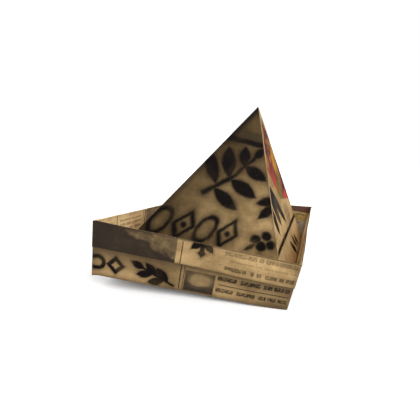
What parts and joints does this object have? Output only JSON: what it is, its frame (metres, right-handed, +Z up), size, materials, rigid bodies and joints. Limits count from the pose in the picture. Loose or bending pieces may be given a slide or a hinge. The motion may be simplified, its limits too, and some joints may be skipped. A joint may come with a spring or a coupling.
{
  "type": "folded paper hat",
  "caption": "Pointed hat folded from newsprint: a four-faced hollow crown inside an upright rhombus brim with a turned-down cuff.",
  "frame": {"origin": "on the table, under the tip, at the middle of the rhombus that the brim's bottom fold makes", "axes": "+X along the hat's long diagonal from the left point to the right point, -Y to the front crease where the two flaps meet, +Z up"},
  "size_m": [0.3196, 0.204, 0.1876],
  "materials": {
    "crown_paper": "matt yellowed newsprint with faded black print",
    "flap_paper": "matt yellowed newsprint with bold black marks",
    "brim_paper": "matt yellowed newsprint, handled and browner",
    "cuff_paper": "matt yellowed newsprint with rows of print"
  },
  "bodies": {
    "root": {"crown": "crown_paper", "left_flap": "flap_paper", "right_flap": "flap_paper", "front_brim": "brim_paper", "back_brim": "brim_paper", "front_cuff": "cuff_paper", "back_cuff": "cuff_paper"}
  },
  "joints": []
}
